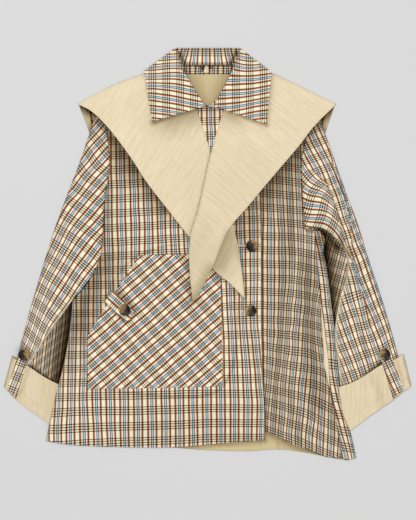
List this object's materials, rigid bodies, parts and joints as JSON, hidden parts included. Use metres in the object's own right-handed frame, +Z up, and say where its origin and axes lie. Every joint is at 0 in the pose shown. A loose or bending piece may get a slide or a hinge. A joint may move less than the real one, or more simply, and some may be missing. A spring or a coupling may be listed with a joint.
{
  "type": "cropped trench coat laid flat",
  "caption": "Cropped check coat laid flat, with crossed beige scarf cape, turned-back cuffs and a bias patch pocket.",
  "frame": {"origin": "middle of the footprint, on the surface that the coat lies on", "axes": "+X to the viewer's right, which is the wearer's left; +Y towards the collar; +Z up, out of the coat's front"},
  "size_m": [0.693, 0.6986, 0.0165],
  "materials": {
    "check_cloth": "woven check of cream, rust and light blue, matt",
    "beige_cloth": "plain beige twill, matt",
    "lining_cloth": "plain beige lining, slight sheen",
    "horn": "dark horn with tan clouds, polished"
  },
  "bodies": {
    "root": {"back": "check_cloth", "back_lining": "lining_cloth", "front_right": "check_cloth", "front_left": "check_cloth", "side_panel_left": "check_cloth", "side_pocket_facing_left": "lining_cloth", "sleeve_top_right": "check_cloth", "sleeve_top_left": "check_cloth", "sleeve_under_right": "check_cloth", "sleeve_under_left": "check_cloth", "cuff_right": "beige_cloth", "cuff_left": "beige_cloth", "strap_right": "check_cloth", "strap_left": "check_cloth", "patch_pocket": "check_cloth", "pocket_tab": "check_cloth", "cape_right": "beige_cloth", "cape_left": "beige_cloth", "cape_back": "beige_cloth", "collar": "check_cloth", "collar_back": "check_cloth", "collar_stand": "check_cloth", "hanger_loop": "beige_cloth", "button_front_upper": "horn", "button_front_lower": "horn", "button_pocket": "horn", "button_sleeve_right": "horn", "button_sleeve_left": "horn"}
  },
  "joints": []
}
